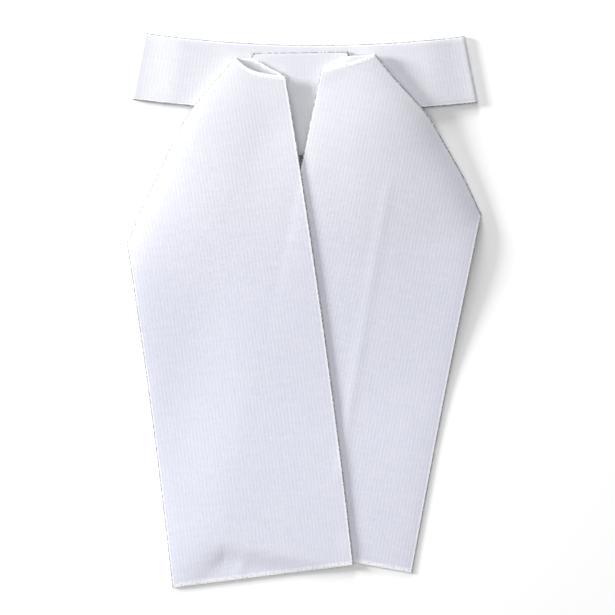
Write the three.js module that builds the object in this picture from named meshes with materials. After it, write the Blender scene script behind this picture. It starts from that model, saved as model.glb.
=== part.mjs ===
// White ribbed cravat, laid flat on its back: a neckband pressed flat, a centre panel and two wide tails.
// Millimetres, +Z up, +Y from the hems towards the neckband, resting surface at z = 0.
// Every piece is one closed wall of cloth, worked out from its cut and from the way it is laid.

import * as THREE from 'three';

// Cloth
const CLOTH = 1.0;
const RIB_PITCH = 2.1;
const RIB_RELIEF = 0.2;
const SEAM_GAP = 0.3;
const LAYER = CLOTH + RIB_RELIEF + SEAM_GAP;
const LOOSE_LAYER = LAYER + 0.2;
const FLOOR = CLOTH / 2;

// Neckband: a cone-shaped loop pressed flat, its ends lapped behind over a touch fastener
const NECK_HALF = 97.5;
const NECK_HEIGHT = 39.0;
const NECK_FLARE = 0.078;
const NECK_TOP = 156.5;
const NECK_SAG = 6.2;
const NECK_TILT = -0.0095;
const LAP = 30.0;
const LAP_CLIMB = 12.0;
const LAP_CLEARANCE = 2.0;
const FASTENER = { width: 22.0, height: 28.0, thickness: 0.8, corner: 3.0 };
const NECK_BACK = FLOOR;
const NECK_LAP = NECK_BACK + CLOTH + FASTENER.thickness + 2 * SEAM_GAP;
const NECK_FRONT = NECK_LAP + CLOTH + SEAM_GAP;
const NECK_ROLL = 1.1;
const NECK_END = NECK_BACK + 2 * NECK_ROLL;
const NECK_END_SLOPE = 30.0;

// Centre panel, hanging in front of the neckband
const PANEL = { x: -2.6, width: 57.0, top: 152.1, bottom: 91.3, tilt: 0.016, taper: 3.0 };
const PANEL_RIBS = 27;
const PANEL_ROWS = 6;

// Height of the layer under the tails: it stands on the neckband and panel, then slopes to the
// floor, and it is lower beside the panel
const STACK_TOP = NECK_FRONT + LAYER + LOOSE_LAYER;
const STACK_SLOPE = { foot: -70.0, head: 122.0 };
const SIDE = { top: NECK_FRONT + LAYER, foot: -50.0, reach: 60.0 };

// Tails: strips, a whole number of ribs wide, whose outer top corner is rolled under along a
// slanting line. The foot is the inner corner of the hem, lean is the strip's angle at hem and
// head, the roll runs from its mouth to its end, and landing is where the front layer leaves its
// flap and comes down to the floor.
const ROLL_DECAY = 120.0;
const LANDING_LENGTH = 150.0;
const TAILS = {
  right: {
    side: 1,
    width: 52 * RIB_PITCH,
    foot: { x: -44.3, y: -134.4 },
    lean: { hem: 10.2, head: 12.0 },
    length: 280.3,
    hemSkew: 0.0,
    mouth: { x: 41.4, y: 150.6 },
    rollEnd: { x: 104.0, y: 57.3 },
    radius: { mouth: 1.5, end: 1.1 },
    landing: { inner: 230.0, outer: 218.0 },
  },
  left: {
    side: -1,
    width: 51 * RIB_PITCH,
    foot: { x: 28.7, y: -148.9 },
    lean: { hem: 6.4, head: 9.4 },
    length: 289.0,
    hemSkew: -1.6,
    mouth: { x: -40.5, y: 148.3 },
    rollEnd: { x: -103.2, y: 43.2 },
    radius: { mouth: 1.5, end: 1.1 },
    landing: { inner: 245.0, outer: 209.0 },
  },
};

// How far the roll bows out from the straight line between its ends
const ROLL_BOW = {
  right: [
    { part: 0.0, bow: 0.0 },
    { part: 0.15, bow: 1.5 },
    { part: 0.3, bow: 4.1 },
    { part: 0.43, bow: 5.6 },
    { part: 0.62, bow: 4.4 },
    { part: 0.8, bow: 2.8 },
    { part: 1.0, bow: -0.6 },
  ],
  left: [
    { part: 0.0, bow: 0.0 },
    { part: 0.15, bow: 3.4 },
    { part: 0.3, bow: 6.1 },
    { part: 0.43, bow: 7.0 },
    { part: 0.62, bow: 4.8 },
    { part: 0.8, bow: 2.8 },
    { part: 1.0, bow: -0.4 },
  ],
};

// Puff of the front layer behind the roll, down the roll from its mouth
const PUFF = {
  rise: 9.0,
  reach: 120.0,
  right: [
    { part: 0.0, height: 1.0 },
    { part: 0.3, height: 2.8 },
    { part: 0.6, height: 3.2 },
    { part: 1.0, height: 2.2 },
    { part: 1.5, height: 1.6 },
  ],
  left: [
    { part: 0.0, height: 1.0 },
    { part: 0.3, height: 1.8 },
    { part: 0.6, height: 2.0 },
    { part: 1.0, height: 1.4 },
    { part: 1.5, height: 1.0 },
  ],
};

// Share of its height that the lowest layer loses at the roll, down the roll from its mouth
const ROLL_FALL = [
  { part: 0.0, share: 0.0 },
  { part: 0.3, share: 0.0 },
  { part: 0.6, share: 0.5 },
  { part: 1.0, share: 0.85 },
  { part: 1.5, share: 0.95 },
];
const FALL_REACH = 20.0;

// Long edges that sink towards the floor, and the left tail's inner edge, which stands off the right one
const EDGE = { sink: 0.6, reach: 7.0 };
const INNER = { lift: 0.3, reach: 16.0 };

// Cut of each strip's head in the flat: distance across from the inner edge, length above the hem
const HEAD_CUT = {
  right: [
    { across: 0.0, along: 281.4 },
    { across: 8.0, along: 285.3 },
    { across: 19.0, along: 291.1 },
    { across: 25.2, along: 294.5 },
    { across: 28.5, along: 297.2 },
    { across: 31.5, along: 303.0 },
    { across: 33.6, along: 312.5 },
    { across: 37.6, along: 317.0 },
    { across: 44.0, along: 325.5 },
    { across: 56.0, along: 326.3 },
    { across: 76.0, along: 327.7 },
    { across: 110.0, along: 331.5 },
  ],
  left: [
    { across: 0.0, along: 289.4 },
    { across: 10.0, along: 292.4 },
    { across: 20.0, along: 297.0 },
    { across: 26.0, along: 303.3 },
    { across: 29.5, along: 309.0 },
    { across: 32.5, along: 316.0 },
    { across: 40.0, along: 323.0 },
    { across: 47.5, along: 329.3 },
    { across: 60.0, along: 328.7 },
    { across: 110.0, along: 327.5 },
  ],
};

// Soft creases pressed into the tails, each from one place on the strip to another
const CREASES = {
  right: [
    { along: 222.0, across: 52.5, toAlong: 130.0, toAcross: 54.5, height: 0.15, spread: 3.5 },
    { along: 130.0, across: 54.5, toAlong: 48.0, toAcross: 57.0, height: 0.2, spread: 3.5 },
    { along: 10.0, across: 69.0, toAlong: -4.0, toAcross: 86.0, height: 0.25, spread: 3.5 },
  ],
  left: [
    { along: 136.0, across: 53.0, toAlong: 78.0, toAcross: 52.5, height: 0.15, spread: 3.5 },
    { along: 78.0, across: 52.5, toAlong: 34.0, toAcross: 51.5, height: 0.2, spread: 3.5 },
    { along: 26.0, across: 53.0, toAlong: 4.0, toAcross: 67.0, height: 0.25, spread: 3.5 },
    { along: 24.0, across: 42.0, toAlong: 8.0, toAcross: 35.0, height: 0.15, spread: 3.5 },
  ],
};

// How far past the right tail's hidden edges the left one stays up, and how far it takes to drop.
// The drop past the hem grows longer beside the right tail.
const OVERLAP = { margin: 1.5, side: 50.0, hem: 13.0, hemGrowth: 1.5 };

// Rows of the walls. The front rows lie closer together towards the roll.
const ROW_GATHER = 1.5;
const HEM_ROWS = { right: 2, left: 5 };
const HEM_REACH = 40.0;
const FRONT_ROWS = { right: 12, left: 13 };
const ROLL_ROWS = 5;
const FLAP_ROWS = 3;
const INNER_STEP = 3;
const NECK_ROWS = 3;

// Middle of the laid-out cravat, which is put on the origin
const MIDDLE = { x: -0.25, y: 0.66 };

// Finishes
const WHITE_CLOTH = { color: 0xeeeef6, roughness: 0.85, metalness: 0.0 };
const PAD_CLOTH = { color: 0xe2e2e6, roughness: 0.95, metalness: 0.0 };

// Small helpers

function ease(value) {
  const x = Math.min(Math.max(value, 0), 1);
  return x * x * (3 - 2 * x);
}

function mix(a, b, part) {
  return a + (b - a) * part;
}

function clamp(value, low, high) {
  return Math.min(Math.max(value, low), high);
}

function steps(from, to, count) {
  return Array.from({ length: count + 1 }, (_, i) => mix(from, to, i / count));
}

// Smooth curve through the rows of a table
function throughRows(rows, input, output, x) {
  const last = rows.length - 1;
  if (x <= rows[0][input]) return rows[0][output];
  if (x >= rows[last][input]) return rows[last][output];
  const slope = (i) => {
    const before = rows[Math.max(i - 1, 0)];
    const after = rows[Math.min(i + 1, last)];
    return (after[output] - before[output]) / (after[input] - before[input]);
  };
  const i = rows.findIndex((row) => row[input] > x) - 1;
  const span = rows[i + 1][input] - rows[i][input];
  const q = (x - rows[i][input]) / span;
  const p = 1 - q;
  return rows[i][output] * (1 + 2 * q) * p * p + rows[i + 1][output] * (3 - 2 * q) * q * q
    + span * (slope(i) * q * p * p - slope(i + 1) * p * q * q);
}

// A ribbed wall of cloth. Its middle surface is a function of two lengths, along and across the
// ribs. The outer side has a station for each crest and valley, the inner side is plain.
function wall({ rows, outer, inner, place, surface, relief, facing }) {
  const nudge = 0.05; // half the step over which the surface's slope is measured
  const positions = [];
  const triangles = [];

  const point = (station, row, isOuter) => {
    const [along, across] = place(station, row);
    const middle = surface(along, across);
    const up = surface(along + nudge, across).sub(surface(along - nudge, across));
    const over = surface(along, across + nudge).sub(surface(along, across - nudge));
    const normal = up.cross(over).normalize().multiplyScalar(facing);
    const lift = isOuter ? CLOTH / 2 + relief(along, across) : -CLOTH / 2;
    middle.addScaledVector(normal, lift);
    positions.push(middle.x, middle.y, middle.z);
    return positions.length / 3 - 1;
  };
  const face = (a, b, c) => {
    triangles.push(...(facing > 0 ? [a, b, c] : [a, c, b]));
  };

  const front = rows.map((row) => outer.map((station) => point(station, row, true)));
  const back = rows.map((row) => inner.map((station) => point(station, row, false)));

  const sheet = (grid, flip) => {
    for (let i = 0; i + 1 < grid.length; i += 1) {
      for (let j = 0; j + 1 < grid[i].length; j += 1) {
        const [a, b, c, d] = [grid[i][j], grid[i + 1][j], grid[i + 1][j + 1], grid[i][j + 1]];
        if (flip) {
          face(a, c, b);
          face(a, d, c);
        } else {
          face(a, b, c);
          face(a, c, d);
        }
      }
    }
  };
  sheet(front, false);
  sheet(back, true);

  // The cut ends, where the outer side has more stations than the inner one
  const rim = (i, flip) => {
    const close = (a, b, c) => (flip ? face(a, c, b) : face(a, b, c));
    let j = 0;
    let k = 0;
    while (j + 1 < outer.length || k + 1 < inner.length) {
      const outerIsNext = k + 1 === inner.length
        || (j + 1 < outer.length && outer[j + 1] - inner[k] <= inner[k + 1] - outer[j]);
      if (outerIsNext) {
        close(front[i][j], front[i][j + 1], back[i][k]);
        j += 1;
      } else {
        close(back[i][k + 1], back[i][k], front[i][j]);
        k += 1;
      }
    }
  };
  rim(0, false);
  rim(rows.length - 1, true);

  // The long edges, where both sides have the same rows
  const edge = (j, k, flip) => {
    const close = (a, b, c) => (flip ? face(a, c, b) : face(a, b, c));
    for (let i = 0; i + 1 < rows.length; i += 1) {
      close(front[i + 1][j], front[i][j], back[i][k]);
      close(front[i + 1][j], back[i][k], back[i + 1][k]);
    }
  };
  edge(0, 0, false);
  edge(outer.length - 1, inner.length - 1, true);

  const geometry = new THREE.BufferGeometry();
  geometry.setAttribute('position', new THREE.Float32BufferAttribute(positions, 3));
  geometry.setIndex(triangles);
  geometry.computeVertexNormals();
  return geometry;
}

function ribStations(from, to, ribs) {
  return steps(from, to, 2 * ribs);
}

// Height of the rib profile, with its valleys a whole number of ribs from the edge
function ribRelief(distance) {
  const inRib = (distance / RIB_PITCH) % 1;
  return RIB_RELIEF * (1 - Math.abs(2 * inRib - 1));
}

// Neckband

// Middle line of the flattened loop, from the hidden under lap round to the upper lap
function neckLoop(distance) {
  const straight = NECK_HALF - NECK_ROLL;
  const bend = Math.PI * NECK_ROLL;
  const centre = (NECK_END + NECK_BACK) / 2;
  const rightBend = straight + LAP / 2;
  const front = rightBend + bend;
  const leftBend = front + 2 * straight;
  const upperLap = leftBend + bend;
  if (distance < rightBend) return { run: distance - LAP / 2, z: NECK_BACK };
  if (distance < front) {
    const angle = (distance - rightBend) / NECK_ROLL;
    return { run: straight + NECK_ROLL * Math.sin(angle), z: centre - NECK_ROLL * Math.cos(angle) };
  }
  if (distance < leftBend) {
    const run = straight - (distance - front);
    return { run, z: mix(NECK_END, NECK_FRONT, ease((straight - Math.abs(run)) / NECK_END_SLOPE)) };
  }
  if (distance < upperLap) {
    const angle = (distance - leftBend) / NECK_ROLL;
    return { run: -straight - NECK_ROLL * Math.sin(angle), z: centre + NECK_ROLL * Math.cos(angle) };
  }
  const run = distance - upperLap - straight;
  const climb = ease((run + LAP / 2 + LAP_CLEARANCE + LAP_CLIMB) / LAP_CLIMB);
  return { run, z: mix(NECK_BACK, NECK_LAP, climb) };
}

function neckSurface(down, distance) {
  const { run, z } = neckLoop(distance);
  const x = run * (1 + NECK_FLARE * (down / NECK_HEIGHT - 0.5));
  const y = NECK_TOP + NECK_SAG * (run / NECK_HALF) ** 2 + NECK_TILT * run - down;
  return new THREE.Vector3(x, y, z);
}

function neckband() {
  const straight = NECK_HALF - NECK_ROLL;
  const bend = Math.PI * NECK_ROLL;
  const frontStart = straight + LAP / 2 + bend;
  const frontEnd = frontStart + 2 * straight;
  const total = frontEnd + bend + straight + LAP / 2;
  const ribs = Math.round((2 * straight) / RIB_PITCH);
  const bendSteps = 6;
  const backSteps = 5;
  const climbSteps = 6;
  const climbStart = total - LAP - LAP_CLEARANCE - LAP_CLIMB;
  const before = [
    ...steps(0, frontStart - bend, backSteps).slice(0, -1),
    ...steps(frontStart - bend, frontStart, bendSteps).slice(0, -1),
  ];
  const after = [
    ...steps(frontEnd, frontEnd + bend, bendSteps).slice(1),
    ...steps(frontEnd + bend, climbStart, backSteps).slice(1),
    ...steps(climbStart, climbStart + LAP_CLIMB, climbSteps).slice(1),
    total,
  ];
  const crests = ribStations(frontStart, frontEnd, ribs);
  const plain = steps(frontStart, frontEnd, Math.round(ribs / INNER_STEP));
  const pitch = (2 * straight) / ribs;
  return wall({
    rows: steps(0, NECK_HEIGHT, NECK_ROWS),
    outer: [...before, ...crests, ...after],
    inner: [...before, ...plain, ...after],
    place: (station, row) => [row, station],
    surface: neckSurface,
    relief: (down, distance) => {
      const onFront = distance > frontStart && distance < frontEnd;
      return onFront ? ribRelief(((distance - frontStart) / pitch) * RIB_PITCH) : 0;
    },
    facing: -1,
  });
}

// Touch fastener, closed between the lapped ends
function fastener() {
  const { width, height, thickness, corner } = FASTENER;
  const [x, y] = [width / 2 - corner, height / 2 - corner];
  const outline = new THREE.Shape();
  outline.absarc(x, y, corner, 0, Math.PI / 2);
  outline.absarc(-x, y, corner, Math.PI / 2, Math.PI);
  outline.absarc(-x, -y, corner, Math.PI, 1.5 * Math.PI);
  outline.absarc(x, -y, corner, 1.5 * Math.PI, 2 * Math.PI);
  return new THREE.ExtrudeGeometry(outline, { depth: thickness, bevelEnabled: false, curveSegments: 4 });
}

// Height of the layer under the tails above the floor
function stackHeight(x, y) {
  const aside = ease((Math.abs(x - PANEL.x) - PANEL.width / 2) / SIDE.reach);
  const top = mix(STACK_TOP, SIDE.top, aside);
  const foot = mix(STACK_SLOPE.foot, SIDE.foot, aside);
  return mix(FLOOR, top, ease((y - foot) / (STACK_SLOPE.head - foot)));
}

// Centre panel

function panelSurface(up, over) {
  const part = up / (PANEL.top - PANEL.bottom);
  const x = PANEL.x + (over - PANEL.width / 2) * mix(1 - PANEL.taper / PANEL.width, 1, part);
  const y = PANEL.bottom + up + PANEL.tilt * (over - PANEL.width / 2);
  return new THREE.Vector3(x, y, stackHeight(x, y) - LOOSE_LAYER);
}

function centrePanel() {
  const pitch = PANEL.width / PANEL_RIBS;
  const outer = ribStations(0, PANEL.width, PANEL_RIBS);
  return wall({
    rows: steps(0, PANEL.top - PANEL.bottom, PANEL_ROWS),
    outer,
    inner: outer.filter((_, j) => j % INNER_STEP === 0),
    place: (station, row) => [row, station],
    surface: panelSurface,
    relief: (up, over) => ribRelief((over / pitch) * RIB_PITCH),
    facing: -1,
  });
}

// Tails

// Place of a strip point before its corner is rolled: the strip bends a little in its own plane
function flatPoint(tail, along, across) {
  const hem = THREE.MathUtils.degToRad(tail.lean.hem);
  const bend = THREE.MathUtils.degToRad(tail.lean.head - tail.lean.hem) / tail.length;
  const lean = hem + bend * along;
  return {
    x: tail.foot.x + tail.side * ((Math.cos(hem) - Math.cos(lean)) / bend + across * Math.cos(lean)),
    y: tail.foot.y + (Math.sin(lean) - Math.sin(hem)) / bend - across * Math.sin(lean),
  };
}

// Strip lengths, along and across, of a place on the floor plan
function stripPlace(tail, x, y) {
  const hem = THREE.MathUtils.degToRad(tail.lean.hem);
  const bend = THREE.MathUtils.degToRad(tail.lean.head - tail.lean.hem) / tail.length;
  const toCentreX = tail.foot.x + (tail.side * Math.cos(hem)) / bend - x;
  const toCentreY = tail.foot.y - Math.sin(hem) / bend - y;
  const lean = Math.atan2(-toCentreY, tail.side * toCentreX);
  return { along: (lean - hem) / bend, across: 1 / bend - Math.hypot(toCentreX, toCentreY) };
}

// Distance down the roll's line from its mouth, and inwards from the bowed edge that it forms
function rollPlace(name, x, y) {
  const tail = TAILS[name];
  const dx = tail.rollEnd.x - tail.mouth.x;
  const dy = tail.rollEnd.y - tail.mouth.y;
  const length = Math.hypot(dx, dy);
  const axis = { x: dx / length, y: dy / length };
  const inward = { x: tail.side * axis.y, y: -tail.side * axis.x };
  const down = (x - tail.mouth.x) * axis.x + (y - tail.mouth.y) * axis.y;
  const part = clamp(down / length, 0, 1);
  const bow = throughRows(ROLL_BOW[name], 'part', 'bow', part);
  const inset = (x - tail.mouth.x) * inward.x + (y - tail.mouth.y) * inward.y + bow;
  const radius = mix(tail.radius.mouth, tail.radius.end, part);
  return { axis, inward, down, part: down / length, bow, inset, radius };
}

// Height of a tail's lowest layer, which comes down towards the free part of the roll
function supportHeight(name, x, y) {
  const { part, inset } = rollPlace(name, x, y);
  const share = throughRows(ROLL_FALL, 'part', 'share', part);
  return mix(stackHeight(x, y), FLOOR, share * Math.exp(-Math.max(inset, 0) / FALL_REACH));
}

function creaseHeight(name, along, across) {
  return CREASES[name].reduce((height, crease) => {
    const runAlong = crease.toAlong - crease.along;
    const runAcross = crease.toAcross - crease.across;
    const square = runAlong ** 2 + runAcross ** 2;
    const part = ((along - crease.along) * runAlong + (across - crease.across) * runAcross) / square;
    const nearest = clamp(part, 0, 1);
    const away = Math.hypot(
      along - crease.along - nearest * runAlong,
      across - crease.across - nearest * runAcross,
    );
    return Math.max(height, crease.height * Math.exp(-((away / crease.spread) ** 2)));
  }, 0);
}

// Height of a tail's front layer, above its own rolled flap and then down to the floor
function frontHeight(name, x, y) {
  const tail = TAILS[name];
  const { along, across } = stripPlace(tail, x, y);
  const { part, inset, radius } = rollPlace(name, x, y);
  const behind = Math.max(inset - radius, 0);
  const puff = throughRows(PUFF[name], 'part', 'height', part)
    * (1 - Math.exp(-behind / PUFF.rise)) * Math.exp(-((behind / PUFF.reach) ** 2));
  const space = mix(2 * radius, LAYER, ease(behind / ROLL_DECAY)) + puff;
  const landing = mix(tail.landing.inner, tail.landing.outer, across / tail.width);
  const hold = 1 - ease((landing - along) / LANDING_LENGTH);
  const sink = (distance) => EDGE.sink * hold * Math.exp(-Math.max(distance, 0) / EDGE.reach);
  const inner = name === 'right' ? -sink(across) : INNER.lift * Math.exp(-((across / INNER.reach) ** 2));
  return supportHeight(name, x, y) + space * hold + creaseHeight(name, along, across)
    - sink(tail.width - across) + inner;
}

// The left tail lies over the right one and comes down softly past its hidden edges
function layeredHeight(name, x, y) {
  const own = frontHeight(name, x, y);
  if (name === 'right') return own;
  const { along, across } = stripPlace(TAILS.right, x, y);
  const pastSide = Math.max(-across - OVERLAP.margin, 0);
  const pastHem = Math.max(-along - OVERLAP.margin, 0);
  const hemDrop = OVERLAP.hem + OVERLAP.hemGrowth * pastSide;
  const cover = 1 - ease(Math.hypot(pastSide / OVERLAP.side, pastHem / hemDrop));
  const above = frontHeight('right', x, y) + LOOSE_LAYER;
  return own + cover * Math.max(above - own, 0);
}

function tailSurface(name, along, across) {
  const tail = TAILS[name];
  const flat = flatPoint(tail, along, across);
  const { axis, inward, down, bow, inset, radius } = rollPlace(name, flat.x, flat.y);
  const wrapped = radius - inset;
  const halfTurn = Math.PI * radius;
  if (wrapped <= 0) return new THREE.Vector3(flat.x, flat.y, layeredHeight(name, flat.x, flat.y));
  const angle = Math.min(wrapped / radius, Math.PI);
  const newInset = radius * (1 - Math.sin(angle)) + Math.max(wrapped - halfTurn, 0);
  const x = tail.mouth.x + axis.x * down + inward.x * (newInset - bow);
  const y = tail.mouth.y + axis.y * down + inward.y * (newInset - bow);
  const top = layeredHeight(name, x, y);
  const bottom = supportHeight(name, x, y);
  return new THREE.Vector3(x, y, mix(bottom, top, (1 + Math.cos(angle)) / 2));
}

// Where the roll begins on one rib line, or just below the head cut where the line stays in front
function rollStart(name, across, head) {
  const tail = TAILS[name];
  let low = 0;
  let high = head;
  while (high - low > 0.01) {
    const middle = (low + high) / 2;
    const flat = flatPoint(tail, middle, across);
    const { inset, radius } = rollPlace(name, flat.x, flat.y);
    if (inset > radius) low = middle;
    else high = middle;
  }
  return low;
}

function tailWall(name) {
  const tail = TAILS[name];
  const hemRows = HEM_ROWS[name];
  const frontRows = FRONT_ROWS[name];
  const turn = hemRows + frontRows;
  const last = turn + ROLL_ROWS + FLAP_ROWS;
  const shortestHead = 4.0;
  const slantStretch = 1.6;
  const outer = ribStations(0, tail.width, Math.round(tail.width / RIB_PITCH));

  const rowLength = (across, row) => {
    const head = throughRows(HEAD_CUT[name], 'across', 'along', across);
    const hem = (tail.hemSkew * across) / tail.width;
    const start = Math.min(rollStart(name, across, head), head - shortestHead);
    if (row <= hemRows) return mix(hem, HEM_REACH, row / hemRows);
    if (row <= turn) return mix(HEM_REACH, start, 1 - (1 - (row - hemRows) / frontRows) ** ROW_GATHER);
    const flat = flatPoint(tail, start, across);
    const { radius } = rollPlace(name, flat.x, flat.y);
    const evenShare = ((head - start) * ROLL_ROWS) / (ROLL_ROWS + FLAP_ROWS);
    const turned = start + Math.min(Math.PI * radius * slantStretch, evenShare);
    if (row <= turn + ROLL_ROWS) return mix(start, turned, (row - turn) / ROLL_ROWS);
    return mix(turned, head, (row - turn - ROLL_ROWS) / FLAP_ROWS);
  };

  return wall({
    rows: steps(0, last, last),
    outer,
    inner: outer.filter((_, j) => j % INNER_STEP === 0),
    place: (station, row) => [rowLength(station, row), station],
    surface: (along, across) => tailSurface(name, along, across),
    relief: (along, across) => {
      const flat = flatPoint(tail, along, across);
      const { inset, radius } = rollPlace(name, flat.x, flat.y);
      const turned = clamp((radius - inset) / (Math.PI * radius), 0, 1);
      return ribRelief(across) * (1 - ease(turned));
    },
    facing: -tail.side,
  });
}

// Assembly

function piece(name, geometry, finish) {
  const mesh = new THREE.Mesh(geometry, new THREE.MeshStandardMaterial(finish));
  mesh.name = name;
  return mesh;
}

const group = new THREE.Group();
const pad = piece('neckband_fastener', fastener(), PAD_CLOTH);
pad.position.set(0, NECK_TOP - NECK_HEIGHT / 2, NECK_BACK + CLOTH / 2 + SEAM_GAP);
group.add(
  piece('neckband', neckband(), WHITE_CLOTH),
  pad,
  piece('centre_panel', centrePanel(), WHITE_CLOTH),
  piece('right_tail', tailWall('right'), WHITE_CLOTH),
  piece('left_tail', tailWall('left'), WHITE_CLOTH),
);

group.position.set(-MIDDLE.x, -MIDDLE.y, 0);

export default group;
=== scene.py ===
"""White ribbed cravat, laid flat on its back: a neckband pressed flat, a centre panel and two wide tails.

Metres, +Z up, +Y from the hems towards the neckband. Each piece of cloth starts as a flat grid with
a few columns for each rib. Its points are laid where the cloth lies, and it is given its thickness.
"""

import math

import bpy
import numpy as np
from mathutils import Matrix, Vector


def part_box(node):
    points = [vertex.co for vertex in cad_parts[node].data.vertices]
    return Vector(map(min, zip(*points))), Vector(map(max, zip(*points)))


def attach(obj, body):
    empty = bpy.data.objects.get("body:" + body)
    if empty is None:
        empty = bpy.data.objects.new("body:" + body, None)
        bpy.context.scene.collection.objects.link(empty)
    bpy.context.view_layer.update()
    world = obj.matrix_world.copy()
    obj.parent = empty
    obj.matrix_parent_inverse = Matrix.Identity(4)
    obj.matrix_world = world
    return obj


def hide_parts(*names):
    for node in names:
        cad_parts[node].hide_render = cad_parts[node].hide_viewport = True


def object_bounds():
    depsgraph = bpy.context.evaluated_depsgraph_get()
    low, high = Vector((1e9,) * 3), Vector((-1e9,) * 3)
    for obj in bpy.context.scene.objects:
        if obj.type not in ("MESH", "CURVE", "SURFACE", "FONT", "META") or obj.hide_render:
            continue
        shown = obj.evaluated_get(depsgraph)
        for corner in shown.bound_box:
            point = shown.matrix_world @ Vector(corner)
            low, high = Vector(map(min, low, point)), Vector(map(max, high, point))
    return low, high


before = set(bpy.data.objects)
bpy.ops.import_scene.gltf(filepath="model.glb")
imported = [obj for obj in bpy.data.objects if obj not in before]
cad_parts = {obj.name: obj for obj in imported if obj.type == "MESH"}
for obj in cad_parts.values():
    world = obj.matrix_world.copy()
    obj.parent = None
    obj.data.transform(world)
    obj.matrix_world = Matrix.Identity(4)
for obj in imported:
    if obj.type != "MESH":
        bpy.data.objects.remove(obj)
CAD_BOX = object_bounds()

bl_info = {
    "name": "White Cravat",
    "version": (1, 0, 0),
    "blender": (4, 5, 0),
    "location": "3D View > Sidebar > Cravat",
    "description": "Lays out a white ribbed cravat on a pale floor",
    "category": "Add Mesh",
}

MM = 0.001

# Cloth layers, as the frame stacks them
CLOTH = 1.0 * MM
SEAM_GAP = 0.3 * MM
LAYER = 1.5 * MM
LOOSE_LAYER = LAYER + 0.2 * MM
FLOOR = CLOTH / 2 + 0.05 * MM
RIB_PITCH = 2.1 * MM
MIDDLE = np.array([-0.25, 0.66, 0.0]) * MM

# Neckband: a cone-shaped loop pressed flat, its ends lapped behind over a touch fastener
NECK_HALF = 97.5 * MM
NECK_HEIGHT = 39.0 * MM
NECK_FLARE = 0.078
NECK_TOP = 156.5 * MM
NECK_SAG = 6.2 * MM
NECK_TILT = -0.0095
LAP = 30.0 * MM
LAP_CLIMB = 12.0 * MM
LAP_CLEARANCE = 2.0 * MM
PAD_WIDTH = 22.0 * MM
PAD_HEIGHT = 28.0 * MM
PAD_THICKNESS = 0.8 * MM
PAD_CORNER = 3.0 * MM
PAD_SOFTNESS = 0.2 * MM
NECK_BACK = FLOOR
NECK_LAP = NECK_BACK + CLOTH + PAD_THICKNESS + 2 * SEAM_GAP
NECK_FRONT = NECK_LAP + CLOTH + SEAM_GAP
NECK_ROLL = 1.1 * MM
NECK_END = NECK_BACK + 2 * NECK_ROLL
NECK_END_SLOPE = 24.0 * MM

# Centre panel, hanging in front of the neckband
PANEL_X = -2.6 * MM
PANEL_WIDTH = 57.0 * MM
PANEL_TOP = 152.1 * MM
PANEL_BOTTOM = 91.3 * MM
PANEL_TILT = 0.016
PANEL_TAPER = 3.0 * MM
PANEL_RIBS = 27

# Height of the layer under the tails: it stands on the neckband and panel, then slopes to the floor,
# and it is lower beside the panel
STACK_TOP = NECK_FRONT + LAYER + LOOSE_LAYER
STACK_FOOT = -70.0 * MM
STACK_HEAD = 122.0 * MM
SIDE_TOP = NECK_FRONT + LAYER
SIDE_FOOT = -50.0 * MM
SIDE_REACH = 60.0 * MM

# Rolled corners: radius at the mouth and at the end, and where on the turn the thin painted shade line
# runs
MOUTH_RADIUS = 1.5 * MM
END_RADIUS = 1.1 * MM
PAINTED_SHADE_TURN = math.radians(52.0)

# How far behind the roll its height lasts, the puff of the front layer there, and its landing
ROLL_DECAY = 120.0 * MM
PUFF_RISE = 9.0 * MM
PUFF_REACH = 120.0 * MM
LANDING_LENGTH = 150.0 * MM

# Share of its height that the lowest layer loses at the roll, down the roll from its mouth
ROLL_FALL = np.array([(0.0, 0.0), (0.3, 0.0), (0.6, 0.5), (1.0, 0.85), (1.5, 0.95)])
FALL_REACH = 20.0 * MM

# Edges that sink to the floor, and the left tail's inner edge, which stands off the right tail
EDGE_SINK = 0.6 * MM
EDGE_REACH = 7.0 * MM
INNER_LIFT = 0.3 * MM
INNER_REACH = 16.0 * MM

# How far past the right tail's hidden edges the left one stays up, and how far it takes to drop
OVERLAP_MARGIN = 1.5 * MM
SIDE_DROP = 50.0 * MM
HEM_DROP = 13.0 * MM
HEM_DROP_GROWTH = 1.5

# The cloth is less blue towards the neckband and bluer lower down: a painted light tint, as lit cloth up
# there and cloth in shade below
NECK_TINT_FOOT = 10.0 * MM
NECK_TINT_REACH = 110.0 * MM

# Uneven patches of the weave: how many there are in a metre across the cords and along them
STREAKS = (1.0 / RIB_PITCH, 0.45 / RIB_PITCH)
SLUBS = (55.0, 420.0)
MOTTLES = (28.0, 20.0)
FUZZ = (2600.0, 2600.0)
TUFTS = (900.0, 900.0)

# How much each part of the weave lightens the cloth, and what is taken off their sum. The cords and
# threads are painted lighter on their crests and darker in their valleys, as painted light and shade; the
# streaks, slubs and mottles are the weave's own uneven tone
CORD_TONE = 0.22
THREAD_TONE = 0.16
STREAK_TONE = 0.42
SLUB_TONE = 0.75
MOTTLE_TONE = 0.30
TONE_OFFSET = 0.42

# How many times wider than along the sides the tufts and their painted highlight are at the hems, and at
# the panel's ends
HEM_TUFTS = 2.0
PANEL_TUFTS = 0.05

# Rows and columns of the grids
COLUMNS_A_RIB = 4
HEM_ROWS = 16
HEM_REACH = 40.0 * MM
FRONT_ROWS = 64
ROLL_ROWS = 18
FLAP_ROWS = 8
NECK_ROWS = 12
PANEL_ROWS = 20


def ease(value):
    x = np.clip(value, 0.0, 1.0)
    return x * x * (3.0 - 2.0 * x)


def mix(a, b, part):
    return a + (b - a) * part


def table(*rows):
    """Rows of lengths given in millimetres."""
    return np.array(rows) * MM


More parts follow.
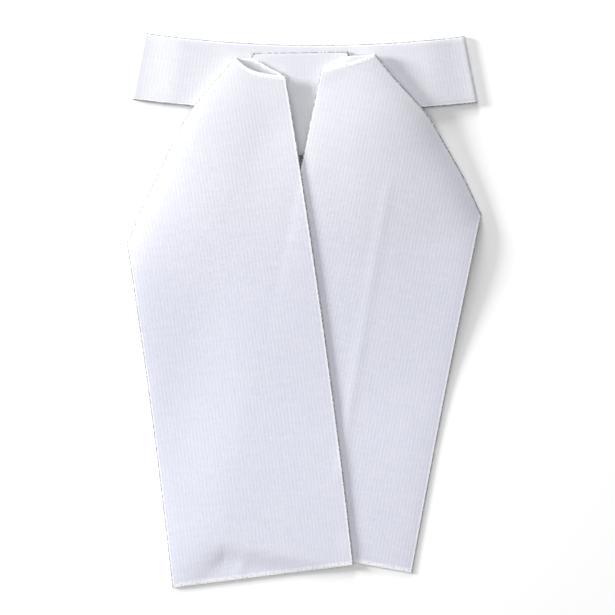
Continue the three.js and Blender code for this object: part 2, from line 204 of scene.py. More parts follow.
def through_rows(rows, x):
    """Smooth curve through the rows of a table."""
    inputs, outputs = rows[:, 0], rows[:, 1]
    last = len(rows) - 1
    before = np.maximum(np.arange(last + 1) - 1, 0)
    after = np.minimum(np.arange(last + 1) + 1, last)
    slope = (outputs[after] - outputs[before]) / (inputs[after] - inputs[before])
    i = np.clip(np.searchsorted(inputs, x, side="right") - 1, 0, last - 1)
    span = inputs[i + 1] - inputs[i]
    q = np.clip((x - inputs[i]) / span, 0.0, 1.0)
    p = 1.0 - q
    level = outputs[i] * (1 + 2 * q) * p * p + outputs[i + 1] * (3 - 2 * q) * q * q
    return level + span * (slope[i] * q * p * p - slope[i + 1] * p * q * q)


def stack_height(x, y):
    """Height of the tails' lowest layer."""
    aside = ease((np.abs(x - PANEL_X) - PANEL_WIDTH / 2) / SIDE_REACH)
    top = mix(STACK_TOP, SIDE_TOP, aside)
    foot = mix(STACK_FOOT, SIDE_FOOT, aside)
    return mix(FLOOR, top, ease((y - foot) / (STACK_HEAD - foot)))


class Crease:
    """A soft ridge pressed into a tail, from one place on its strip to another."""

    def __init__(self, start, end, height, spread):
        self.start = np.array(start) * MM
        self.run = np.array(end) * MM - self.start
        self.height = height * MM
        self.spread = spread * MM

    def rise(self, along, across):
        da, dc = along - self.start[0], across - self.start[1]
        part = (da * self.run[0] + dc * self.run[1]) / float(self.run @ self.run)
        part = np.clip(part, 0.0, 1.0)
        away = np.hypot(da - part * self.run[0], dc - part * self.run[1])
        return self.height * np.exp(-((away / self.spread) ** 2))


class Tail:
    """A strip of cloth whose outer top corner is rolled under along a slanting, bowed line.

    Places on the strip are lengths: along from the hem, and across from the inner edge.
    """

    def __init__(
        self, side, ribs, foot, lean, length, skew, mouth, end, landing, bow, puff, cut, creases
    ):
        self.side = side
        self.width = ribs * RIB_PITCH
        self.ribs = ribs
        self.foot = np.array(foot) * MM
        self.hem_lean = math.radians(lean[0])
        self.bend = math.radians(lean[1] - lean[0]) / (length * MM)
        self.skew = skew * MM
        self.mouth = np.array(mouth) * MM
        run = np.array(end) * MM - self.mouth
        self.roll_length = float(np.hypot(*run))
        self.axis = run / self.roll_length
        self.inward = np.array([side * self.axis[1], -side * self.axis[0]])
        self.landing = np.array(landing) * MM
        self.bow = np.array(bow) * [1.0, MM]
        self.puff = np.array(puff) * [1.0, MM]
        self.cut = table(*cut)
        self.creases = creases
        self.under = None

    def flat_point(self, along, across):
        """Place on the plan before the corner is rolled: the strip bends a little in its own plane."""
        lean = self.hem_lean + self.bend * along
        cos_hem, sin_hem = math.cos(self.hem_lean), math.sin(self.hem_lean)
        x = self.foot[0] + self.side * ((cos_hem - np.cos(lean)) / self.bend + across * np.cos(lean))
        y = self.foot[1] + (np.sin(lean) - sin_hem) / self.bend - across * np.sin(lean)
        return x, y

    def strip_place(self, x, y):
        """Lengths along and across the strip of a place on the plan."""
        to_x = self.foot[0] + self.side * math.cos(self.hem_lean) / self.bend - x
        to_y = self.foot[1] - math.sin(self.hem_lean) / self.bend - y
        lean = np.arctan2(-to_y, self.side * to_x)
        return (lean - self.hem_lean) / self.bend, 1 / self.bend - np.hypot(to_x, to_y)

    def roll_place(self, x, y):
        """Length down the roll's line, bow of the edge there, distance inwards from it, and radius."""
        dx, dy = x - self.mouth[0], y - self.mouth[1]
        down = dx * self.axis[0] + dy * self.axis[1]
        part = np.clip(down / self.roll_length, 0.0, 1.0)
        bow = through_rows(self.bow, part)
        inset = dx * self.inward[0] + dy * self.inward[1] + bow
        return down, bow, inset, mix(MOUTH_RADIUS, END_RADIUS, part)

    def support_height(self, x, y):
        """Height of this tail's lowest layer, which comes down towards the free part of the roll."""
        down, _, inset, _ = self.roll_place(x, y)
        fall = through_rows(ROLL_FALL, down / self.roll_length)
        fall = fall * np.exp(-np.maximum(inset, 0.0) / FALL_REACH)
        return mix(stack_height(x, y), FLOOR, fall)

    def front_height(self, x, y):
        """Height of the front layer, above its own rolled flap and then down to the floor."""
        along, across = self.strip_place(x, y)
        down, _, inset, radius = self.roll_place(x, y)
        behind = np.maximum(inset - radius, 0.0)
        puff = through_rows(self.puff, down / self.roll_length)
        puff = puff * (1.0 - np.exp(-behind / PUFF_RISE))
        puff = puff * np.exp(-((behind / PUFF_REACH) ** 2))
        space = mix(2 * radius, LAYER, ease(behind / ROLL_DECAY)) + puff
        landing = mix(self.landing[0], self.landing[1], across / self.width)
        hold = 1.0 - ease((landing - along) / LANDING_LENGTH)
        rise = np.maximum.reduce([crease.rise(along, across) for crease in self.creases])
        outer = np.maximum(self.width - across, 0.0)
        rise = rise + EDGE_SINK * (1.0 - np.exp(-outer / EDGE_REACH))
        if self.under is None:
            rise = rise - EDGE_SINK * np.exp(-np.maximum(across, 0.0) / EDGE_REACH) * hold
        else:
            rise = rise + INNER_LIFT * np.exp(-((across / INNER_REACH) ** 2))
        return self.support_height(x, y) + space * hold + rise

    def layered_height(self, x, y):
        """Height with the tail that lies under this one, past whose hidden edges it comes down."""
        own = self.front_height(x, y)
        if self.under is None:
            return own
        along, across = self.under.strip_place(x, y)
        past_side = np.maximum(-across - OVERLAP_MARGIN, 0.0)
        past_hem = np.maximum(-along - OVERLAP_MARGIN, 0.0)
        hem_drop = HEM_DROP + HEM_DROP_GROWTH * past_side
        cover = 1.0 - ease(np.hypot(past_side / SIDE_DROP, past_hem / hem_drop))
        above = self.under.front_height(x, y) + LOOSE_LAYER
        return own + cover * np.maximum(above - own, 0.0)

    def surface(self, along, across):
        """Point of the cloth's middle surface."""
        x, y = self.flat_point(along, across)
        down, bow, inset, radius = self.roll_place(x, y)
        wrapped = radius - inset
        angle = np.clip(wrapped / radius, 0.0, math.pi)
        turned = radius * (1 - np.sin(angle)) + np.maximum(wrapped - math.pi * radius, 0.0)
        rolled = wrapped > 0
        new_x = self.mouth[0] + self.axis[0] * down + self.inward[0] * (turned - bow)
        new_y = self.mouth[1] + self.axis[1] * down + self.inward[1] * (turned - bow)
        x, y = np.where(rolled, new_x, x), np.where(rolled, new_y, y)
        top = self.layered_height(x, y)
        z = np.where(rolled, mix(self.support_height(x, y), top, (1 + np.cos(angle)) / 2), top)
        return np.stack([x, y, z], axis=-1)

    def fold_distance(self, along, across):
        """Distance on the strip from the thin painted shade line on the roll's upper side."""
        _, _, inset, radius = self.roll_place(*self.flat_point(along, across))
        return np.abs(radius - inset - radius * PAINTED_SHADE_TURN)

    def roll_start(self, across, head):
        """Where the roll begins on each rib line, or the head where the line stays in front."""
        halvings = 24
        low, high = np.zeros_like(across), head.copy()
        for _ in range(halvings):
            middle = (low + high) / 2
            _, _, inset, radius = self.roll_place(*self.flat_point(middle, across))
            flat = inset > radius
            low, high = np.where(flat, middle, low), np.where(flat, high, middle)
        return low

    def lengths(self, across):
        """Lengths along the strip of each row, for each column: hem, front, roll and flap."""
        shortest_head, slant_stretch = 4.0 * MM, 1.6
        head = through_rows(self.cut, across)
        hem = self.skew * across / self.width
        start = np.minimum(self.roll_start(across, head), head - shortest_head)
        _, _, _, radius = self.roll_place(*self.flat_point(start, across))
        even = (head - start) * ROLL_ROWS / (ROLL_ROWS + FLAP_ROWS)
        turned = start + np.minimum(math.pi * radius * slant_stretch, even)
        reach = np.full_like(across, HEM_REACH)
        stops = [(hem, reach, HEM_ROWS), (reach, start, FRONT_ROWS)]
        stops += [(start, turned, ROLL_ROWS), (turned, head, FLAP_ROWS)]
        rows = [mix(a, b, i / n) for a, b, n in stops for i in range(n)]
        return np.array([*rows, head])


RIGHT_TAIL = Tail(
    side=1,
    ribs=52,
    foot=(-44.3, -134.4),
    lean=(10.2, 12.0),
    length=280.3,
    skew=0.0,
    mouth=(41.4, 150.6),
    end=(104.0, 57.3),
    landing=(230.0, 218.0),
    bow=[(0, 0), (0.15, 1.5), (0.3, 4.1), (0.43, 5.6), (0.62, 4.4), (0.8, 2.8), (1, -0.6)],
    puff=[(0, 1.0), (0.3, 2.8), (0.6, 3.2), (1, 2.2), (1.5, 1.6)],
    cut=[
        (0, 281.4), (8, 285.3), (19, 291.1), (25.2, 294.5), (28.5, 297.2), (31.5, 303.0),
        (33.6, 312.5), (37.6, 317.0), (44, 325.5), (56, 326.3), (76, 327.7), (110, 331.5),
    ],
    creases=[
        Crease((222.0, 52.5), (130.0, 54.5), 0.15, 3.5),
        Crease((130.0, 54.5), (48.0, 57.0), 0.20, 3.5),
        Crease((10.0, 69.0), (-4.0, 86.0), 0.25, 3.5),
    ],
)
LEFT_TAIL = Tail(
    side=-1,
    ribs=51,
    foot=(28.7, -148.9),
    lean=(6.4, 9.4),
    length=289.0,
    skew=-1.6,
    mouth=(-40.5, 148.3),
    end=(-103.2, 43.2),
    landing=(245.0, 209.0),
    bow=[(0, 0), (0.15, 3.4), (0.3, 6.1), (0.43, 7.0), (0.62, 4.8), (0.8, 2.8), (1, -0.4)],
    puff=[(0, 1.0), (0.3, 1.4), (0.6, 1.5), (1, 1.1), (1.5, 0.8)],
    cut=[
        (0, 289.4), (10, 292.4), (20, 297.0), (26, 303.3), (29.5, 309.0), (32.5, 316.0),
        (40, 323.0), (47.5, 329.3), (60, 328.7), (110, 327.5),
    ],
    creases=[
        Crease((136.0, 53.0), (78.0, 52.5), 0.15, 3.5),
        Crease((78.0, 52.5), (34.0, 51.5), 0.20, 3.5),
        Crease((26.0, 53.0), (4.0, 67.0), 0.25, 3.5),
        Crease((24.0, 42.0), (8.0, 35.0), 0.15, 3.5),
    ],
)
LEFT_TAIL.under = RIGHT_TAIL

NECK_STRAIGHT = NECK_HALF - NECK_ROLL
NECK_BEND = math.pi * NECK_ROLL
NECK_LENGTH = 4 * NECK_STRAIGHT + 2 * NECK_BEND + LAP


def neck_surface(down, distance):
    """Point of the flattened loop, from the hidden under lap round to the upper lap."""
    right_bend = NECK_STRAIGHT + LAP / 2
    front = right_bend + NECK_BEND
    left_bend = front + 2 * NECK_STRAIGHT
    upper = left_bend + NECK_BEND
    centre = (NECK_END + NECK_BACK) / 2
    right = (distance - right_bend) / NECK_ROLL
    left = (distance - left_bend) / NECK_ROLL
    last = distance - upper - NECK_STRAIGHT
    climb = ease((last + LAP / 2 + LAP_CLEARANCE + LAP_CLIMB) / LAP_CLIMB)
    where = [distance < right_bend, distance < front, distance < left_bend, distance < upper]
    run = np.select(where, [
        distance - LAP / 2,
        NECK_STRAIGHT + NECK_ROLL * np.sin(right),
        NECK_STRAIGHT - (distance - front),
        -NECK_STRAIGHT - NECK_ROLL * np.sin(left),
    ], last)
    z = np.select(where, [
        np.full_like(distance, NECK_BACK),
        centre - NECK_ROLL * np.cos(right),
        mix(NECK_END, NECK_FRONT, ease((NECK_STRAIGHT - np.abs(run)) / NECK_END_SLOPE)),
        centre + NECK_ROLL * np.cos(left),
    ], mix(NECK_BACK, NECK_LAP, climb))
    x = run * (1 + NECK_FLARE * (down / NECK_HEIGHT - 0.5))
    y = NECK_TOP + NECK_SAG * (run / NECK_HALF) ** 2 + NECK_TILT * run - down
    return np.stack([x, y, z], axis=-1)


def panel_surface(up, over):
    """Point of the panel's middle surface, from its bottom and its left side."""
    part = up / (PANEL_TOP - PANEL_BOTTOM)
    from_middle = over - PANEL_WIDTH / 2
    x = PANEL_X + from_middle * mix(1 - PANEL_TAPER / PANEL_WIDTH, 1.0, part)
    y = PANEL_BOTTOM + up + PANEL_TILT * from_middle
    return np.stack([x, y, stack_height(x, y) - LOOSE_LAYER], axis=-1)


def deselect():
    bpy.ops.object.select_all(action="DESELECT")


def thicken(piece, thickness, softness):
    """Gives a sheet its thickness, half on each side, and rounds its edges."""
    wall = piece.modifiers.new("Wall", "SOLIDIFY")
    wall.thickness = thickness
    wall.offset = 0.0
    wall.use_even_offset = True
    rim = piece.modifiers.new("Soft edge", "BEVEL")
    rim.width = softness
    rim.segments = 2
    rim.limit_method = "ANGLE"
    rim.angle_limit = math.radians(60.0)
    for modifier in (wall, rim):
        bpy.ops.object.modifier_apply(modifier=modifier.name)


def lay_cloth(name, surface, along, across, facing, settings, end_tufts=1.0, fold=None):
    """A sheet of ribbed cloth: a flat grid whose points are laid on a surface, then thickened.

    along and across hold the lengths on the cut of each row and column. The strip map keeps them,
    and the edge map keeps the distances from the long edges and from the ends. end_tufts says how
    many times wider the tufts and their painted highlight are at the ends. The dull
    map keeps the distance from the thin painted shade line, which runs along the long edges and
    the ends, or along the fold instead of the ends.
    """
    rows, columns = along.shape
    deselect()
    bpy.ops.mesh.primitive_grid_add(x_subdivisions=columns - 1, y_subdivisions=rows - 1, size=1.0)
    piece = bpy.context.object
    piece.name = name
    mesh = piece.data
    mesh.name = name
    flat = np.empty(len(mesh.vertices) * 3)
    mesh.vertices.foreach_get("co", flat)
    flat = flat.reshape(-1, 3)
    i = np.rint((flat[:, 1] + 0.5) * (rows - 1)).astype(int)
    j = np.rint((flat[:, 0] + 0.5) * (columns - 1)).astype(int)
    a, c = along[i, j], across[j]

    nudge = 0.05 * MM
    up = surface(a + nudge, c) - surface(a - nudge, c)
    over = surface(a, c + nudge) - surface(a, c - nudge)
    normal = np.cross(up, over) * facing
    normal /= np.linalg.norm(normal, axis=1, keepdims=True)
    crest = (1.0 - np.cos(2 * math.pi * c / RIB_PITCH)) / 2
    points = surface(a, c) + normal * (settings.rib_relief * crest)[:, None] - MIDDLE
    mesh.vertices.foreach_set("co", points.ravel())

    corner = np.empty(len(mesh.loops), dtype=np.int32)
    mesh.loops.foreach_get("vertex_index", corner)
    sides = np.minimum(c - across[0], across[-1] - c)
    ends = np.minimum(a - along[0, j], along[-1, j] - a)
    dull = np.minimum(sides, ends if fold is None else fold(a, c))
    mesh.uv_layers.active.name = "strip"
    maps = {"strip": (c, a), "edges": (sides, ends / end_tufts), "dull": (dull, dull)}
    for layer, lengths in maps.items():
        chart = mesh.uv_layers.get(layer) or mesh.uv_layers.new(name=layer)
        chart.data.foreach_set("uv", np.stack(lengths, axis=1)[corner].ravel())
    mesh.update()

    thicken(piece, CLOTH, settings.edge_softness)
    bpy.ops.object.shade_smooth()
    return piece


class Value:
    """A shader socket that can be used in a Python expression."""

    def __init__(self, finish, socket):
        self.finish = finish
        self.socket = socket

    def _math(self, operation, *values):
        return self.finish.node("ShaderNodeMath", {"operation": operation}, dict(enumerate(values)))

    def __add__(self, other):
        return self._math("ADD", self, other)

    def __sub__(self, other):
        return self._math("SUBTRACT", self, other)

    def __rsub__(self, other):
        return self._math("SUBTRACT", other, self)

    def __mul__(self, other):
        return self._math("MULTIPLY", self, other)

    def __truediv__(self, other):
        return self._math("DIVIDE", self, other)

    __radd__ = __add__
    __rmul__ = __mul__

    def cosine(self):
        return self._math("COSINE", self)

    def clamped(self):
        return self.finish.node("ShaderNodeClamp", {}, {"Value": self})


class Finish:
    """A material whose nodes are added one by one."""

    def __init__(self, name):
        self.material = bpy.data.materials.new(name)
        self.material.use_nodes = True
        self.tree = self.material.node_tree
        self.shader = self.tree.nodes["Principled BSDF"]

    def node(self, kind, settings, inputs, output=0):
        node = self.tree.nodes.new(kind)
        for name, value in settings.items():
            setattr(node, name, value)
        self.fill(node, inputs)
        return Value(self, node.outputs[output])

    def fill(self, node, inputs):
        for name, value in inputs.items():
            if isinstance(value, Value):
                self.tree.links.new(value.socket, node.inputs[name])
            else:
                node.inputs[name].default_value = value

    def shade(self, **inputs):
        self.fill(self.shader, {name.replace("_", " "): value for name, value in inputs.items()})

    def place(self):
        """Place on the piece, in metres."""
        return self.node("ShaderNodeTexCoord", {}, {}, "Object")

    def length(self, vector, axis):
        return self.node("ShaderNodeSeparateXYZ", {}, {"Vector": vector}, axis)

    def map(self, name):
        """The two lengths that a piece's UV map keeps."""
        chart = self.node("ShaderNodeUVMap", {"uv_map": name}, {})
        return [self.length(chart, axis) for axis in "XY"]

    def noise(self, vector, scale=1.0, detail=2.0):
        inputs = {"Vector": vector, "Scale": scale, "Detail": detail}
        return self.node("ShaderNodeTexNoise", {}, inputs)

    def vector(self, x, y):
        return self.node("ShaderNodeCombineXYZ", {}, {"X": x, "Y": y})

    def colour(self, part, low, high):
        """Mix of two colours. A Mix node's colours are its inputs 6 and 7 and its output 2."""
        ends = [end if isinstance(end, Value) else (*end, 1.0) for end in (low, high)]
        inputs = {0: part, 6: ends[0], 7: ends[1]}
        return self.node("ShaderNodeMix", {"data_type": "RGBA"}, inputs, output=2)


def ribbed_cloth(settings):
    """White ribbed cloth: cords along the strip and fine threads across them, painted lighter on their
    crests and darker in their valleys, a painted highlight with tufts along the cut edges, and a thin
    painted shade line along the edges and the rolls.
    """
    finish = Finish("white_ribbed_cloth")
    across, along = finish.map("strip")
    side, end = finish.map("edges")
    dull, _ = finish.map("dull")

    def wave(length, pitch):
        return 0.5 - 0.5 * (length * (2 * math.pi / pitch)).cosine()

    def patches(density, detail=2.0):
        return finish.noise(finish.vector(across * density[0], along * density[1]), detail=detail)

    def broken(line, gain, gaps):
        return (gain * line * (5.0 * tuft - gaps).clamped()).clamped()

    cord = wave(across, RIB_PITCH)
    thread = wave(along, settings.thread_pitch)
    streak = patches(STREAKS)
    slub = patches(SLUBS)
    mottle = patches(MOTTLES, detail=3.0)
    fuzz = patches(FUZZ, detail=3.0)
    tuft = patches(TUFTS, detail=1.0)

    # Painted light and shade: the cords and threads are lighter on their crests and darker in their
    # valleys; the streaks, slubs and mottles are the weave's own uneven tone.
    tone = CORD_TONE * cord + THREAD_TONE * thread + STREAK_TONE * streak
    tone = (tone + SLUB_TONE * slub + MOTTLE_TONE * mottle - TONE_OFFSET).clamped()
    up = finish.length(finish.place(), "Y")
    # Painted light tint: less blue towards the neckband, bluer lower down.
    painted_light_tint = ((up - NECK_TINT_FOOT) / NECK_TINT_REACH).clamped()
    lower = finish.colour(tone, settings.valley_shade_and_weave_colour, settings.crest_light_and_weave_colour)
    upper = finish.colour(tone, settings.neck_valley_shade_and_weave_colour, settings.neck_crest_light_and_weave_colour)
    cloth = finish.colour(painted_light_tint, lower, upper)
    # Along the cut edges the cloth is painted almost white: frayed tufts, and a painted highlight.
    edge = (side / settings.tuft_highlight_width).clamped() * (end / settings.tuft_highlight_width).clamped()
    rim = broken(1.0 - edge, gain=1.8, gaps=1.7)
    # Painted shade: a thin dark line, broken by noise, along the long edges and along the ends or the
    # roll's turn.
    cut = broken(1.0 - (dull / settings.painted_shade_width).clamped(), gain=2.2, gaps=1.8)
    height = 0.55 * thread * (0.4 + 0.6 * cord) + 0.30 * fuzz + 0.35 * streak + 0.8 * rim
    bump = finish.node(
        "ShaderNodeBump", {}, {"Strength": 0.5, "Distance": settings.thread_relief, "Height": height}
    )
    tuft_highlighted = finish.colour(rim, cloth, settings.tuft_highlight_colour)
    finish.shade(
        Base_Color=finish.colour(cut, tuft_highlighted, settings.painted_shade_colour),
        Roughness=settings.roughness,
        Sheen_Weight=settings.sheen,
        Sheen_Roughness=0.5,
        Specular_IOR_Level=0.25,
        Subsurface_Weight=0.7,
        Subsurface_Scale=0.7 * MM,
        Subsurface_Radius=(1.0, 1.0, 1.0),
        Normal=bump,
    )
    return finish.material


def loop_pile(settings):
    """Dull felted face of the hidden touch fastener."""
    finish = Finish("fastener_pile")
    loops_a_metre = 1500.0
    loops = finish.node(
        "ShaderNodeTexVoronoi", {}, {"Vector": finish.place(), "Scale": loops_a_metre}
    )
    bump = finish.node(
        "ShaderNodeBump", {"invert": True}, {"Strength": 0.8, "Distance": 0.2 * MM, "Height": loops}
    )
    # Painted shade: darker between the loops, lighter on them.
    gaps = (loops * 1.4).clamped()
    finish.shade(
        Base_Color=finish.colour(gaps, settings.crest_light_and_weave_colour, settings.loop_gap_shade_colour),
        Roughness=0.95,
        Normal=bump,
    )
    return finish.material


def pale_floor(settings):
    """Even pale floor with a barely darker grain."""
    finish = Finish("pale_floor")
    grain = finish.noise(finish.place(), scale=9.0)
    darker = [0.985 * part for part in settings.floor_colour]
    finish.shade(
        Base_Color=finish.colour(grain, darker, settings.floor_colour),
        Roughness=0.9,
        Specular_IOR_Level=0.1,
    )
    return finish.material


def cloth_material(settings):
    return bpy.data.materials.get("white_ribbed_cloth") or ribbed_cloth(settings)


def finish_cloth(piece, node, settings):
    """Gives a sheet its finish, puts it under the root body and hides the CAD part it stands in for."""
    piece.data.materials.clear()
    piece.data.materials.append(cloth_material(settings))
    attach(piece, "root")
    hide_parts(node)


class CravatClothSettings(bpy.types.PropertyGroup):
    rib_relief: bpy.props.FloatProperty(
        name="Rib relief", description="Height of the cords above the valleys between them",
        default=0.028 * MM, min=0.0, max=0.3 * MM, precision=5, unit="LENGTH",
    )
    edge_softness: bpy.props.FloatProperty(
        name="Edge softness", description="Width of the rounding along every edge of the cloth",
        default=0.25 * MM, min=0.05 * MM, max=0.45 * MM, precision=5, unit="LENGTH",
    )
    thread_pitch: bpy.props.FloatProperty(
        name="Thread pitch", description="Distance between the fine threads across the cords",
        default=1.15 * MM, min=0.2 * MM, max=2.0 * MM, precision=5, unit="LENGTH",
    )
    thread_relief: bpy.props.FloatProperty(
        name="Thread relief", description="Depth of the weave's fine relief",
        default=0.08 * MM, min=0.0, max=0.5 * MM, precision=5, unit="LENGTH",
    )
    # Painted highlight: width of the almost white strip of tufts and highlight along the cut edges.
    tuft_highlight_width: bpy.props.FloatProperty(
        name="Rim width", description="Width of the white tufts along the cut edges",
        default=1.5 * MM, min=0.1 * MM, max=5.0 * MM, precision=5, unit="LENGTH",
    )
    # Painted shade: width of the thin dark line along the cut edges and the rolls.
    painted_shade_width: bpy.props.FloatProperty(
        name="Cut width", description="Width of the dull line along the cut edges and the rolls",
        default=0.75 * MM, min=0.1 * MM, max=5.0 * MM, precision=5, unit="LENGTH",
    )
    # Painted highlight: colour of the tufts and highlight along the cut edges.
    tuft_highlight_colour: bpy.props.FloatVectorProperty(
        name="Rim colour", description="Colour of the tufts along the cut edges",
        default=(0.97, 0.97, 0.98), min=0.0, max=1.0, subtype="COLOR",
    )
    # Painted shade: colour of the thin dark line along the edges and the rolls.
    painted_shade_colour: bpy.props.FloatVectorProperty(
        name="Cut colour", description="Colour of the dull line",
        default=(0.26, 0.26, 0.26), min=0.0, max=1.0, subtype="COLOR",
    )
    # Painted light and shade: crests lighter, valleys darker; the weave's uneven tone also runs between
    # these two colours.
    crest_light_and_weave_colour: bpy.props.FloatVectorProperty(
        name="Crest colour", description="Colour of the cords' crests",
        default=(0.73, 0.735, 0.81), min=0.0, max=1.0, subtype="COLOR",
    )
    valley_shade_and_weave_colour: bpy.props.FloatVectorProperty(
        name="Valley colour", description="Colour between the cords",
        default=(0.655, 0.66, 0.745), min=0.0, max=1.0, subtype="COLOR",
    )
    # Painted light and shade as above, with the painted light tint near the neckband: less blue there.
    neck_crest_light_and_weave_colour: bpy.props.FloatVectorProperty(
        name="Neck crest colour", description="Colour of the cords' crests near the neckband",
        default=(0.735, 0.74, 0.78), min=0.0, max=1.0, subtype="COLOR",
    )
    neck_valley_shade_and_weave_colour: bpy.props.FloatVectorProperty(
        name="Neck valley colour", description="Colour between the cords near the neckband",
        default=(0.665, 0.67, 0.715), min=0.0, max=1.0, subtype="COLOR",
    )
    # Painted shade: colour of the gaps between the loops.
    loop_gap_shade_colour: bpy.props.FloatVectorProperty(
        name="Fastener colour", description="Colour between the loops of the touch fastener",
        default=(0.62, 0.62, 0.66), min=0.0, max=1.0, subtype="COLOR",
    )
    roughness: bpy.props.FloatProperty(
        name="Roughness", description="Roughness of the cloth",
        default=0.8, min=0.0, max=1.0, subtype="FACTOR",
    )
    sheen: bpy.props.FloatProperty(
        name="Sheen", description="Soft shine of the cloth at a low angle",
        default=0.15, min=0.0, max=1.0, subtype="FACTOR",
    )


class CravatStageSettings(bpy.types.PropertyGroup):
    floor_colour: bpy.props.FloatVectorProperty(
        name="Floor colour", description="Colour of the pale floor",
        default=(0.985, 0.985, 0.98), min=0.0, max=1.0, subtype="COLOR",
    )
    view_width: bpy.props.FloatProperty(
        name="View width", description="Width of floor that the camera takes in",
        default=361.2 * MM, min=0.1, max=2.0, unit="LENGTH",
    )
    lens: bpy.props.FloatProperty(
        name="Lens", description="Focal length of the overhead camera, in millimetres",
        default=250.0, min=50.0, max=500.0,
    )
    key_power: bpy.props.FloatProperty(
        name="Key light", description="Power of the low light from the left, in watts",
        default=85.0, min=0.0, max=500.0,
    )
    top_power: bpy.props.FloatProperty(
        name="Top light", description="Power of the low light from above the neckband, in watts",
        default=30.0, min=0.0, max=500.0,
    )
    fill_power: bpy.props.FloatProperty(
        name="Fill light", description="Power of the wide light overhead, in watts",
        default=11.0, min=0.0, max=500.0,
    )
    sky: bpy.props.FloatProperty(
        name="Room light", description="Strength of the even light of the room",
        default=0.2, min=0.0, max=3.0,
    )


def add_tail(node, tail, settings):
    """Adds one tail's cloth, in place of the node of that name."""
    across = np.linspace(0.0, tail.width, tail.ribs * COLUMNS_A_RIB + 1)
    along = tail.lengths(across)
    piece = lay_cloth(
        node + "_cloth", tail.surface, along, across, -tail.side, settings, HEM_TUFTS, tail.fold_distance
    )
    finish_cloth(piece, node, settings)


class CRAVAT_OT_neckband(bpy.types.Operator):
    """Lay the neckband as a loop pressed flat, with its ends lapped behind"""

    bl_idname = "cravat.neckband"
    bl_label = "Neckband"

    def execute(self, context):
        settings = context.scene.cravat_cloth
        ribs = round(NECK_LENGTH / RIB_PITCH)
        across = np.linspace(0.0, NECK_LENGTH, ribs * COLUMNS_A_RIB + 1)
        along = np.linspace(0.0, NECK_HEIGHT, NECK_ROWS + 1)[:, None] + 0.0 * across
        piece = lay_cloth("neckband_cloth", neck_surface, along, across, -1, settings)
        finish_cloth(piece, "neckband", settings)
        return {"FINISHED"}


class CRAVAT_OT_fastener(bpy.types.Operator):
    """Close the neckband's lapped ends with a hidden touch fastener"""

    bl_idname = "cravat.fastener"
    bl_label = "Touch fastener"

    def execute(self, context):
        settings = context.scene.cravat_cloth
        low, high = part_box("neckband_fastener")
        centre = (low + high) / 2
        deselect()
        bpy.ops.mesh.primitive_plane_add(size=1.0, location=centre)
        pad = context.object
        pad.name = "fastener_pad"
        pad.scale = (PAD_WIDTH, PAD_HEIGHT, 1.0)
        bpy.ops.object.transform_apply(location=True, rotation=True, scale=True)
        bpy.ops.object.mode_set(mode="EDIT")
        bpy.ops.mesh.select_all(action="SELECT")
        bpy.ops.mesh.bevel(offset=PAD_CORNER, segments=6, affect="VERTICES")
        bpy.ops.object.mode_set(mode="OBJECT")
        thicken(pad, PAD_THICKNESS, PAD_SOFTNESS)
        bpy.ops.object.shade_smooth_by_angle(angle=math.radians(40.0))
        pad.data.materials.append(loop_pile(settings))
        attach(pad, "root")
        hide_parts("neckband_fastener")
        return {"FINISHED"}


class CRAVAT_OT_centre_panel(bpy.types.Operator):
    """Lay the centre panel in front of the neckband"""

    bl_idname = "cravat.centre_panel"
    bl_label = "Centre panel"

    def execute(self, context):
        settings = context.scene.cravat_cloth
        across = np.linspace(0.0, PANEL_WIDTH, PANEL_RIBS * COLUMNS_A_RIB + 1)
        length = PANEL_TOP - PANEL_BOTTOM
        along = np.linspace(0.0, length, PANEL_ROWS + 1)[:, None] + 0.0 * across
        piece = lay_cloth(
            "centre_panel_cloth", panel_surface, along, across, -1, settings, PANEL_TUFTS
        )
        finish_cloth(piece, "centre_panel", settings)
        return {"FINISHED"}


class CRAVAT_OT_tails(bpy.types.Operator):
    """Lay the right tail, and the left tail over it"""

    bl_idname = "cravat.tails"
    bl_label = "Tails"

    def execute(self, context):
        settings = context.scene.cravat_cloth
        add_tail("right_tail", RIGHT_TAIL, settings)
        add_tail("left_tail", LEFT_TAIL, settings)
        return {"FINISHED"}


def aim(lamp, target):
    direction = target - lamp.location
    lamp.rotation_euler = direction.to_track_quat("-Z", "Y").to_euler()


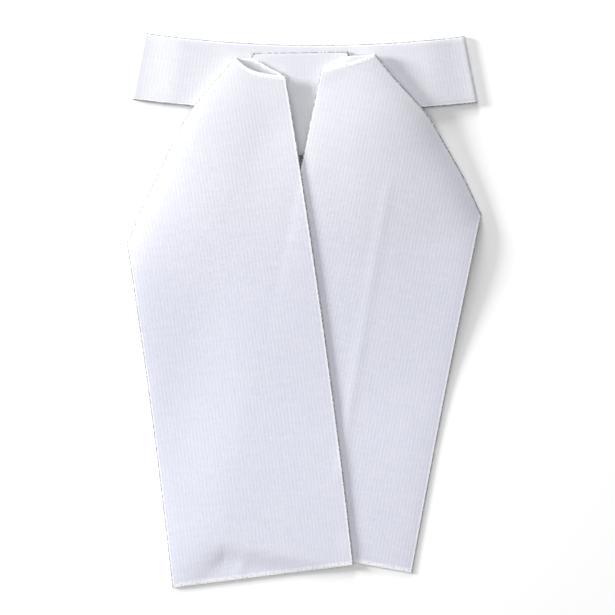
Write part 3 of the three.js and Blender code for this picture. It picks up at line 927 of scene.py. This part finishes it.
class CRAVAT_OT_stage(bpy.types.Operator):
    """Set the pale floor, the soft lights and the overhead camera"""

    bl_idname = "cravat.stage"
    bl_label = "Stage"

    def execute(self, context):
        settings = context.scene.cravat_stage
        low, high = CAD_BOX
        centre = (low + high) / 2
        floor_width = 3.0
        deselect()
        bpy.ops.mesh.primitive_grid_add(x_subdivisions=8, y_subdivisions=8, size=floor_width)
        floor = context.object
        floor.name = "floor"
        floor.data.materials.append(pale_floor(settings))

        # Place, width and power of each light
        lights = {
            "key_light": ((-2.20, 0.68, 0.72), 0.70, settings.key_power),
            "top_light": ((-0.40, 2.22, 0.80), 0.80, settings.top_power),
            "fill_light": ((-0.10, 0.10, 1.60), 1.60, settings.fill_power),
        }
        for name, (place, width, power) in lights.items():
            deselect()
            bpy.ops.object.light_add(type="AREA", location=place)
            lamp = context.object
            lamp.name = name
            lamp.data.shape = "DISK"
            lamp.data.size = width
            lamp.data.energy = power
            aim(lamp, centre)
        room_colour = (0.97, 0.98, 1.0, 1.0)
        world = bpy.data.worlds.new("room")
        world.use_nodes = True
        room_light = world.node_tree.nodes["Background"]
        room_light.inputs["Strength"].default_value = settings.sky
        room_light.inputs["Color"].default_value = room_colour
        context.scene.world = world
        context.scene.view_settings.view_transform = "Standard"

        picture_middle = (2.01 * MM, 1.69 * MM)
        mean_height = 4.0 * MM
        deselect()
        bpy.ops.object.camera_add()
        camera = context.object
        camera.name = "overhead_camera"
        camera.data.lens = settings.lens
        away = settings.view_width * settings.lens / camera.data.sensor_width
        camera.location = (*picture_middle, mean_height + away)
        camera.rotation_euler = (0.0, 0.0, 0.0)
        context.scene.camera = camera
        return {"FINISHED"}


class CRAVAT_PT_panel(bpy.types.Panel):
    """Buttons and sizes of the cravat"""

    bl_idname = "CRAVAT_PT_panel"
    bl_label = "White Cravat"
    bl_space_type = "VIEW_3D"
    bl_region_type = "UI"
    bl_category = "Cravat"

    def draw(self, context):
        column = self.layout.column()
        for operator in OPERATORS:
            column.operator(operator.bl_idname)
        for group in (context.scene.cravat_cloth, context.scene.cravat_stage):
            box = self.layout.box()
            for name in group.bl_rna.properties.keys():
                if name not in {"rna_type", "name"}:
                    box.prop(group, name)


OPERATORS = (
    CRAVAT_OT_stage,
    CRAVAT_OT_neckband,
    CRAVAT_OT_fastener,
    CRAVAT_OT_centre_panel,
    CRAVAT_OT_tails,
)
CLASSES = (CravatClothSettings, CravatStageSettings, *OPERATORS, CRAVAT_PT_panel)


def register():
    for item in CLASSES:
        bpy.utils.register_class(item)
    bpy.types.Scene.cravat_cloth = bpy.props.PointerProperty(type=CravatClothSettings)
    bpy.types.Scene.cravat_stage = bpy.props.PointerProperty(type=CravatStageSettings)


def unregister():
    del bpy.types.Scene.cravat_stage
    del bpy.types.Scene.cravat_cloth
    for item in reversed(CLASSES):
        bpy.utils.unregister_class(item)


def main():
    register()
    bpy.ops.cravat.stage()
    bpy.ops.cravat.neckband()
    bpy.ops.cravat.fastener()
    bpy.ops.cravat.centre_panel()
    bpy.ops.cravat.tails()


if __name__ == "__main__":
    main()
